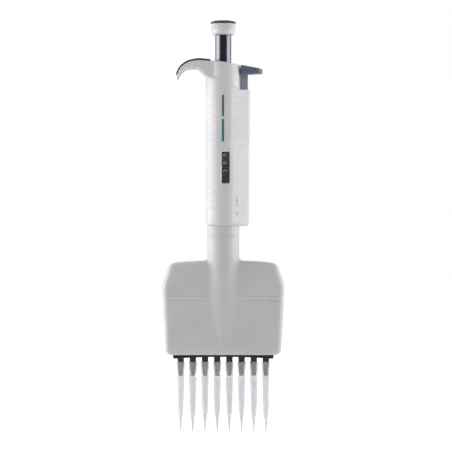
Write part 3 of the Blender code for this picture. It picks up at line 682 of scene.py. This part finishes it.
def push_button():
    """Grip of the push button with fine upright ribs."""
    low, high = box_mm("push_button")[0][2] + BUTTON_LIFT, box_mm("push_button")[1][2]
    profile = [(5.0, low), (7.2, low), (7.9, low + 0.35), (8.3, low + 1.0), (8.6, low + 2.0)]
    profile += [(8.74, low + 2.8), (8.8, low + 3.4)]
    profile += [(8.84 + 0.46 * t, low + 3.8 + (high - low - 4.6) * t) for t in np.linspace(0, 1, 9)]
    profile += [(9.25, high - 0.3), (8.9, high), (5.0, high)]
    ribs = 36

    def ripple(angle, z):
        upper = float(step(low + 3.4, low + 4.4, z) * step(high - 0.25, high - 0.7, z))
        return -0.42 * upper * (0.5 + 0.5 * math.cos(ribs * angle)) ** 3

    item = turned("push_button_grip", profile, ribs * 8, ripple=ripple)
    return finish(item, "knob", WHITE, ["push_button"])


def button_cap():
    """Shallow dome on the button with a dished middle."""
    low, high = box_mm("button_cap")[0][2], box_mm("button_cap")[1][2] - CAP_DROP
    radius = box_mm("button_cap")[1][0]
    dome = [(low + (high - low) * rise, radius * share) for rise, share in (
        (0.0, 0.935), (0.08, 0.965), (0.2, 0.975), (0.32, 0.955), (0.45, 0.915), (0.58, 0.86),
        (0.7, 0.79), (0.8, 0.70), (0.87, 0.60), (0.9, 0.50), (0.89, 0.40), (0.85, 0.26))]
    profile = [(0, low)] + [(r, z) for z, r in dome] + [(0, low + (high - low) * 0.81)]
    item = turned("button_cap_disc", profile, 96)
    return finish(item, "knob", CAP, ["button_cap"])


def plunger_rod():
    """Polished tube between button and casing."""
    low, high = box_mm("plunger_rod")
    radius = high[0]
    shoulder = box_mm("push_button")[0][2] + BUTTON_LIFT - 0.1
    profile = [(4.6, low[2]), (radius, low[2]), (radius, shoulder - 0.35), (radius - 0.3, shoulder)]
    profile += [(4.7, shoulder), (4.7, high[2]), (0, high[2]), (0, high[2] - 11), (4.6, high[2] - 11)]
    item = turned("plunger_rod_tube", profile, 96)
    return finish(item, "knob", STEEL, ["plunger_rod"])


LEVER_LOW, LEVER_HIGH = box_mm("ejector_button")
PLATE_LOW_Z, PLATE_EDGE_X, PLATE_EDGE_Z, PLATE_SLOPE = 264.3, 14.0, 271.0, 0.19


def lever_field(x, y, z):
    """Thumb plate with cross ribs on the ejector's stem."""
    nose = teardrop(x, y, BORE_R - 0.35, 1.6, 16.6)
    stem = smooth_max(nose, LEVER_LOW[0] - 0.2 - x, 0.3)
    stem = smooth_max(smooth_max(stem, LEVER_LOW[2] - z, 0.5), z - 268.0, 0.5)
    middle = (LEVER_LOW[0] + LEVER_HIGH[0]) / 2
    half_x = (LEVER_HIGH[0] - LEVER_LOW[0]) / 2
    plan = rectangle(x - middle, y, half_x, 6.6, 0.8)
    end = np.hypot(np.maximum(x - LEVER_HIGH[0] + 5.0, 0), np.maximum(np.abs(y) - 1.6, 0)) - 5.0
    plan = np.maximum(plan, end)
    ribs = 0.26 * np.cos((x - 16.5) / 2.4 * 2 * math.pi) * step(14.9, 15.6, x) * step(28.0, 27.4, x)
    ribs = ribs * step(5.9, 5.2, np.abs(y))
    top = z - PLATE_EDGE_Z + PLATE_SLOPE * np.maximum(0, x - PLATE_EDGE_X) + 0.2 - ribs
    hollow = 0.25 * step(20.0, 25.0, x)
    plate = smooth_max(plan, top, 1.0)
    plate = smooth_max(plate, PLATE_LOW_Z + hollow - z, 0.9)
    body = smooth_min(plate, stem, 1.3)
    hole = np.maximum(np.hypot(x - 15.2, y) - 1.5, z - 251.3)
    return np.maximum(body, -hole)


def ejector_button():
    pitch = 0.33
    axes = [np.arange(11.9, 29.8, pitch), np.arange(-7.6, 7.7, pitch), np.arange(242.6, 272.4, pitch)]
    item = skin("ejector_lever_button", lever_field, axes)
    return finish(item, "ejector_lever", SLATE, ["ejector_button"])


# ---------------------------------------------------------------- display

def window_lens():
    """Clear pane of the display with a bevelled front."""
    half_x, half_z = WINDOW_HALF_X - 0.06, WINDOW_HALF_Z - 0.06
    front, back, corner = -11.5, -10.75, 0.7
    rings = []
    for y, inset in ((back, 0.0), (front + 0.15, 0.0), (front, 0.15)):
        ring = rounded_outline((WINDOW_X, WINDOW_Z), half_x, half_z, corner, corner - inset, 5)
        rings.append([(x, y, z) for x, z in ring])
    item = lofted("display_lens", rings)
    return finish(item, "handle", LENS, ["window_lens"])


def digit_mesh(text, height, name):
    """Flat raised figure in the default font, centred, in millimetres."""
    curve = bpy.data.curves.new(name, "FONT")
    curve.body = text
    curve.size = height / 0.73
    curve.align_x = "CENTER"
    curve.align_y = "CENTER"
    curve.resolution_u = 4
    holder = bpy.data.objects.new(name, curve)
    bpy.context.scene.collection.objects.link(holder)
    deps = bpy.context.evaluated_depsgraph_get()
    data = bpy.data.meshes.new_from_object(holder.evaluated_get(deps))
    points = np.array([v.co[:] for v in data.vertices])
    faces = [list(p.vertices) for p in data.polygons]
    bpy.data.objects.remove(holder)
    points[:, :2] -= (points[:, :2].max(0) + points[:, :2].min(0)) / 2
    return points, faces


def drum_digits(drum, shown):
    """Ten figures around a drum, wrapped on its surface, with the shown one at the window."""
    low, high = box_mm(drum)
    radius = high[0] + 0.04
    middle_z = (low[2] + high[2]) / 2
    at_window = math.asin((WINDOW_X - 0.35) / radius) - math.pi / 2
    points, faces = [], []
    for figure in range(10):
        flat, cells = digit_mesh(str(figure), 3.3, f"{drum}_{figure}")
        # the figure's right is up the axis and its top is turned to the left
        turn = at_window - (figure - shown) * 2 * math.pi / 10
        start = len(points)
        for u, v, _ in flat:
            angle = turn - v / radius
            points.append((radius * math.cos(angle), radius * math.sin(angle), middle_z + u))
        faces += [[start + i for i in cell] for cell in cells]
    item = store(f"{drum}_figures", points, faces)
    thick = item.modifiers.new("thick", "SOLIDIFY")
    thick.thickness = 0.04 * MM
    thick.offset = 0.0
    return item


def display():
    """Counter drums and their raised figures."""
    for drum, shown, body in (
        ("hundreds_drum", 3, "hundreds_counter"), ("tens_drum", 0, "tens_counter"),
        ("units_drum", 0, "units_counter"),
    ):
        low, high = box_mm(drum)
        radius = high[0]
        ring = [(radius, low[2]), (radius, high[2]), (6.5, high[2]), (6.5, low[2])]
        finish(turned(f"{drum}_ring", rounded(ring, 0.25), 80), body, DRUM, [drum])
        finish(drum_digits(drum, shown), body, INK)


# ---------------------------------------------------------------- manifold

MANIFOLD_GROOVES = [100.9, 97.6]
MANIFOLD_RIDGES = [100.0, 96.7]
LINE_INNER_X, LINE_OUTER_X = 13.0, 41.5           # reach of the lines across each half
BEAD_HEIGHT, BEAD_HALF = 0.22, 0.42               # small bead around the neck's top


def manifold_outline():
    """Front outline of the manifold."""
    right = arc((38.2, 61.9), 4.7, -90, -5, 10)
    right += [(45.1, 106.4), (44.4, 110.5)]
    right += arc((34.6, 118.4), 6.9, 10, 85, 9)
    right += [(28.0, 126.0), (11.0, 126.9)]
    return right + [(-x, z) for x, z in reversed(right)]


OUTLINE = manifold_outline()


def slab_half_y(z):
    """Half the depth of the manifold's flat body, thinner upwards."""
    share = (z - MANIFOLD_LOW) / (MANIFOLD_TOP - MANIFOLD_LOW)
    return SLAB_LOW_Y + (SLAB_TOP_Y - SLAB_LOW_Y) * share


def manifold_field(x, y, z):
    """Flat body and neck of the manifold as one hollow shell."""
    face = (np.abs(y) - slab_half_y(z)) * 0.9974
    edge = polygon(x, z, OUTLINE)
    across = np.abs(x)
    lines = step(LINE_OUTER_X + 0.5, LINE_OUTER_X - 0.5, across)
    lines = lines * step(LINE_INNER_X - 0.6, LINE_INNER_X + 0.6, across)
    cut = (groove(z, MANIFOLD_GROOVES, 0.42, 0.5) - groove(z, MANIFOLD_RIDGES, 0.4, 0.16)) * lines
    slab = smooth_max(edge, face + cut, 5.2)
    bead = BEAD_HEIGHT * np.exp(-((z - NECK_TOP + 0.6) / BEAD_HALF) ** 2)
    neck = np.maximum(np.hypot(x, y) - NECK_R - bead, MANIFOLD_LOW + 1.5 - z)
    outer = smooth_min(slab, neck, 0.1 + 2.9 * step(64.0, 104.0, z))
    outer = smooth_max(outer, z - NECK_TOP - 0.1, 0.5)
    inner = smooth_max(edge + WALL, face + WALL, 3.0)
    bore = np.maximum(np.hypot(x, y) - NECK_BORE_R, MANIFOLD_LOW + WALL - z)
    slot = np.maximum(rectangle(x, y, 37.7, 3.4, 0.5), z - MANIFOLD_LOW - WALL - 1)
    hollow = np.minimum(np.minimum(inner, bore), slot)
    return np.maximum(outer, -hollow)


def manifold_cover(name, side, node):
    """Front or rear half of the manifold's shell."""
    pitch = 0.62
    z_rows = rows_between(
        MANIFOLD_LOW - 0.7, NECK_TOP + 1.2, pitch, MANIFOLD_GROOVES + MANIFOLD_RIDGES, 0.2, 1.0)
    y_rows = np.arange(-1.0, 13.6, pitch) * side
    axes = [np.arange(-46.3, 46.4, pitch), np.sort(y_rows), z_rows]

    def half(x, y, z):
        return smooth_max(manifold_field(x, y, z), 0.05 - side * y, 0.35)

    item = skin(name, half, axes)
    return finish(item, "manifold", GREY, [node])


def swivel_collar():
    low, high = box_mm("swivel_collar")
    radius = high[0]
    bottom, top, inner = low[2] - 0.28, high[2] + 0.25, 9.8
    profile = [(inner, bottom), (radius, bottom), (radius, top), (inner, top)]
    item = turned("swivel_ring", rounded(profile, 0.15), 96)
    return finish(item, "handle", GREY, ["swivel_collar"])


# ---------------------------------------------------------------- bar, nozzles and tips

CHANNEL_PITCH = 9.0


def bar_field(x, y, z):
    """Ejector bar with a hole for each nozzle."""
    low, high = box_mm("ejector_bar")
    half_x, half_y = high[0], high[1]
    rise = 1.4 * (1 - (x / half_x) ** 2)
    plan = rectangle(x, y, half_x - 0.35 * step(high[2], low[2], z), half_y, 2.0)
    body = smooth_max(plan, low[2] + rise - z, 0.7)
    body = smooth_max(body, z - high[2], 0.5)
    nearest = x - (np.clip(np.round(x / CHANNEL_PITCH + 3.5), 0, 7) - 3.5) * CHANNEL_PITCH
    return np.maximum(body, -(np.hypot(nearest, y) - 2.8))


def ejector_bar():
    pitch = 0.4
    axes = [np.arange(-38.3, 38.4, pitch), np.arange(-5.4, 5.5, pitch), np.arange(53.4, 57.8, 0.3)]
    item = skin("ejector_bar_rail", bar_field, axes)
    return finish(item, "ejector_carriage", BLACK, ["ejector_bar"])


def nozzle(node):
    """Cylinder and tip cone of one channel."""
    low, high = box_mm(node)
    x = (low[0] + high[0]) / 2
    profile = [
        (0.9, low[2]), (1.45, low[2]), (1.6, low[2] + 0.3), (2.1, 46.5), (2.45, 51.5), (2.45, 62.0),
        (3.9, 62.0), (3.9, high[2]), (2.9, high[2]), (2.9, 65.0), (0.9, 65.0),
    ]
    item = turned(f"{node}_shaft", profile, 40, (x, 0))
    return finish(item, "manifold", NOZZLE, [node])


def tip(node):
    """Thin-walled tip: ribbed collar, stepped body and a long taper."""
    low, high = box_mm(node)
    x = (low[0] + high[0]) / 2
    top = high[2]
    outer = [
        (0.62, 0.0), (0.72, 0.15), (0.95, 3.0), (1.15, 6.0), (1.4, 8.9), (1.62, 10.3), (2.0, 12.6),
        (2.3, 14.8), (2.4, 16.3), (2.6, 20.0), (2.67, 24.0), (2.77, 30.5), (2.92, 34.5),
        (3.1, 39.6), (3.15, 40.3), (3.42, 41.3), (3.5, 42.0), (3.7, 44.0), (3.82, 48.6), (3.9, 49.2),
        (3.9, top - 0.3), (3.75, top),
    ]
    inner = [
        (3.2, top), (3.08, top - 0.4), (2.95, 49.0), (2.75, 44.0), (2.6, 40.5), (2.4, 38.0),
        (2.2, 30.0), (2.0, 20.0), (1.75, 15.0), (1.1, 10.3), (0.75, 6.0), (0.45, 2.0), (0.34, 0.0),
    ]
    ribs = 16

    def ripple(angle, z):
        collar = float(step(41.5, 42.6, z) * step(49.0, 48.2, z))
        return -0.16 * collar * (0.5 + 0.5 * math.cos(ribs * angle))

    item = tip_mesh(f"{node}_wall", outer + inner, len(outer), ripple, (x, 0))
    return finish(item, "tips", FROSTED, [node])


def tip_mesh(name, rows, outer_count, ripple, centre, segments=64):
    """Turned wall whose outside rows carry ribs and whose inside rows are plain."""
    angles = 2 * math.pi * np.arange(segments) / segments
    points, faces = [], []
    for k, (radius, z) in enumerate(rows):
        for a in angles:
            r = radius + (ripple(a, z) if k < outer_count else 0.0)
            points.append((centre[0] + r * math.cos(a), centre[1] + r * math.sin(a), z))
    count = len(rows)
    for k in range(count):
        following = (k + 1) % count
        for i in range(segments):
            j = (i + 1) % segments
            faces.append([
                k * segments + i, k * segments + j, following * segments + j, following * segments + i])
    item = store(name, points, faces)
    outward_normals(item)
    return item


# ---------------------------------------------------------------- print and inner pieces

FLANK_X = 7.4                                    # ink left of this lies on the round side


def print_strip(name, x_middle, half_width, low_z, high_z, material):
    """Thin rounded bar of ink that follows the handle's front."""
    half_height = (high_z - low_z) / 2
    corner = 0.98 * min(half_width, half_height)
    middle = (x_middle, (low_z + high_z) / 2)
    outline = rounded_outline(middle, half_width, half_height, corner, corner, 6)
    rings = []
    for proud in (-0.25, 0.015):
        ring = []
        for x, z in outline:
            on_round = x < FLANK_X
            y = -math.sqrt((HANDLE_R + proud) ** 2 - x * x) if on_round else flank_y(x, z, proud)
            ring.append((x, y, z))
        rings.append(ring)
    item = lofted(name, rings)
    return finish(item, "handle", material)


def flank_y(x, z, proud):
    """Front y of the handle's flat flank, moved out by proud."""
    slope = (HANDLE_R - NOSE_R) / float(nose_x(z))
    along = math.sqrt(1 - slope * slope)
    return -(HANDLE_R + proud - slope * x) / along


INNER_FINISH = {
    "inner_barrel": GREY, "plunger_bush": GREY, "swivel_hub": GREY, "cylinder_plate": GREY,
    "retaining_nut": INNER_STEEL, "drive_shaft": INNER_STEEL, "stop_nut": INNER_STEEL,
    "ejector_rod": INNER_STEEL, "ejector_yoke": INNER_STEEL, "piston_bar": INNER_STEEL,
    "push_rod": INNER_STEEL, "thrust_collar": BRASS, "volume_screw": BRASS,
    "blank_drum": DRUM, "piston_seal_strip": RUBBER,
    **{f"piston_{i}": STEEL for i in range(1, 9)},
}


def dress_inner_pieces():
    """Materials for the CAD pieces that stay in place inside."""
    for node, material in INNER_FINISH.items():
        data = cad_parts[node].data
        data.materials.clear()
        data.materials.append(material)


def spring(node, body, wire_radius, turns):
    """Coil with flat end turns."""
    low, high = box_mm(node)
    centre = (low + high) / 2
    mean = (high[0] - low[0]) / 2 - wire_radius
    steps, sides = 28, 10
    bottom, top = low[2] + wire_radius, high[2] - wire_radius
    end_rise = 2.1 * wire_radius
    rings = []
    for i in range(turns * steps + 1):
        turn = i / steps
        z = bottom + end_rise + (top - bottom - 2 * end_rise) * (turn - 1) / (turns - 2)
        if turn < 1:
            z = bottom + end_rise * turn
        if turn > turns - 1:
            z = top - end_rise * (turns - turn)
        angle = 2 * math.pi * turn
        ring = []
        for k in range(sides):
            around = 2 * math.pi * k / sides
            radius = mean + wire_radius * math.cos(around)
            ring.append((
                centre[0] + radius * math.cos(angle), centre[1] + radius * math.sin(angle),
                z + wire_radius * math.sin(around)))
        rings.append(ring)
    item = lofted(f"{node}_coil", rings)
    finish(item, body, INNER_STEEL, [node])
    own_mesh(item)
    return item


# ---------------------------------------------------------------- studio

def camera():
    """Long lens square to the front."""
    data = bpy.data.cameras.new("camera")
    data.lens = 180.0
    data.sensor_width = 36.0
    item = bpy.data.objects.new("camera", data)
    frame_width = 0.334
    aim_x, aim_z = 0.002, 0.1522
    item.location = (aim_x, -frame_width * data.lens / data.sensor_width, aim_z)
    item.rotation_euler = (math.radians(90), 0, 0)
    bpy.context.scene.collection.objects.link(item)
    bpy.context.scene.camera = item


def area_light(name, place, target, size, power):
    """Rectangular softbox turned towards its target."""
    data = bpy.data.lights.new(name, "AREA")
    data.shape = "RECTANGLE"
    data.size, data.size_y = size
    data.energy = power
    item = bpy.data.objects.new(name, data)
    item.location = place
    item.rotation_euler = (Vector(target) - Vector(place)).to_track_quat("-Z", "Y").to_euler()
    bpy.context.scene.collection.objects.link(item)


AMBIENT, BACKDROP = 0.03, 1.0             # surroundings for bounced light, and as seen directly
FLOOR_BOUNCE, FLOOR_GLOW = 0.1, 1.0       # the same for the floor's own glow


def world_light():
    """White surroundings for the camera and through clear parts, and dim ones for everything else."""
    world = bpy.data.worlds.new("studio")
    bpy.context.scene.world = world
    world.use_nodes = True
    tree = world.node_tree
    tree.nodes.clear()
    rays = tree.nodes.new("ShaderNodeLightPath")
    through = tree.nodes.new("ShaderNodeMath")
    through.operation = "MAXIMUM"
    tree.links.new(rays.outputs["Is Camera Ray"], through.inputs[0])
    tree.links.new(rays.outputs["Is Transmission Ray"], through.inputs[1])
    mix = tree.nodes.new("ShaderNodeMixShader")
    tree.links.new(through.outputs["Value"], mix.inputs["Fac"])
    for socket, strength in ((1, AMBIENT), (2, BACKDROP)):
        background = tree.nodes.new("ShaderNodeBackground")
        background.inputs["Color"].default_value = (1, 1, 1, 1)
        background.inputs["Strength"].default_value = strength
        tree.links.new(background.outputs["Background"], mix.inputs[socket])
    output = tree.nodes.new("ShaderNodeOutputWorld")
    tree.links.new(mix.outputs["Shader"], output.inputs["Surface"])


def floor():
    """Plain pale floor."""
    data = bpy.data.meshes.new("floor")
    reach = 4.0
    corners = [(-reach, -reach, 0), (reach, -reach, 0), (reach, reach, 0), (-reach, reach, 0)]
    data.from_pydata(corners, [], [(0, 1, 2, 3)])
    item = bpy.data.objects.new("floor", data)
    item.location.z = -0.0002
    bpy.context.scene.collection.objects.link(item)
    material, tree, shader = new_material("floor_paper")
    shader.inputs["Base Color"].default_value = (0.86, 0.86, 0.86, 1)
    shader.inputs["Roughness"].default_value = 0.9
    shader.inputs["Emission Color"].default_value = (1, 1, 1, 1)
    rays = tree.nodes.new("ShaderNodeLightPath")
    glow = tree.nodes.new("ShaderNodeMapRange")
    glow.inputs["To Min"].default_value = FLOOR_BOUNCE
    glow.inputs["To Max"].default_value = FLOOR_GLOW
    tree.links.new(rays.outputs["Is Camera Ray"], glow.inputs["Value"])
    tree.links.new(glow.outputs["Result"], shader.inputs["Emission Strength"])
    data.materials.append(material)


def studio():
    bpy.context.scene.view_settings.view_transform = "Standard"
    floor()
    world_light()
    middle = (0, 0, 0.16)
    area_light("left_softbox", (-1.0, 0.03, 0.3), middle, (1.3, 1.3), 17.0)
    area_light("right_softbox", (1.0, 0.0, 0.3), middle, (1.3, 1.3), 13.0)
    area_light("back_softbox", (0, 1.2, 0.9), middle, (1.0, 1.0), 3.0)
    area_light("top_softbox", (0, 0.35, 1.3), middle, (0.9, 0.3), 1.8)
    area_light("high_fill", (0.1, -1.1, 1.3), middle, (0.9, 0.9), 3.0)


def build():
    camera()
    handle_body()
    upper_housing()
    hook_pad()
    push_button()
    button_cap()
    plunger_rod()
    ejector_button()
    window_lens()
    display()
    manifold_cover("manifold_front_shell", -1, "manifold_front_cover")
    manifold_cover("manifold_rear_shell", 1, "manifold_rear_cover")
    swivel_collar()
    ejector_bar()
    for node in NOZZLES:
        nozzle(node)
    for node in TIPS:
        tip(node)
    print_strip("stripe_teal", -0.2, 0.8, 214.0, 231.0, TEAL)
    print_strip("stripe_grey", -0.2, 0.8, 232.6, 248.6, GREY_PRINT)
    for i, z in enumerate((160.2, 161.8, 167.2, 168.8, 170.4, 172.0, 173.6)):
        print_strip(f"mark_{i + 1}", 9.9, 0.85, z, z + 0.8, PALE_PRINT)
    dress_inner_pieces()
    spring("main_spring", "handle", 0.55, 8)
    spring("blowout_spring", "handle", 0.5, 8)
    spring("ejector_spring", "handle", 0.3, 8)
    studio()


build()
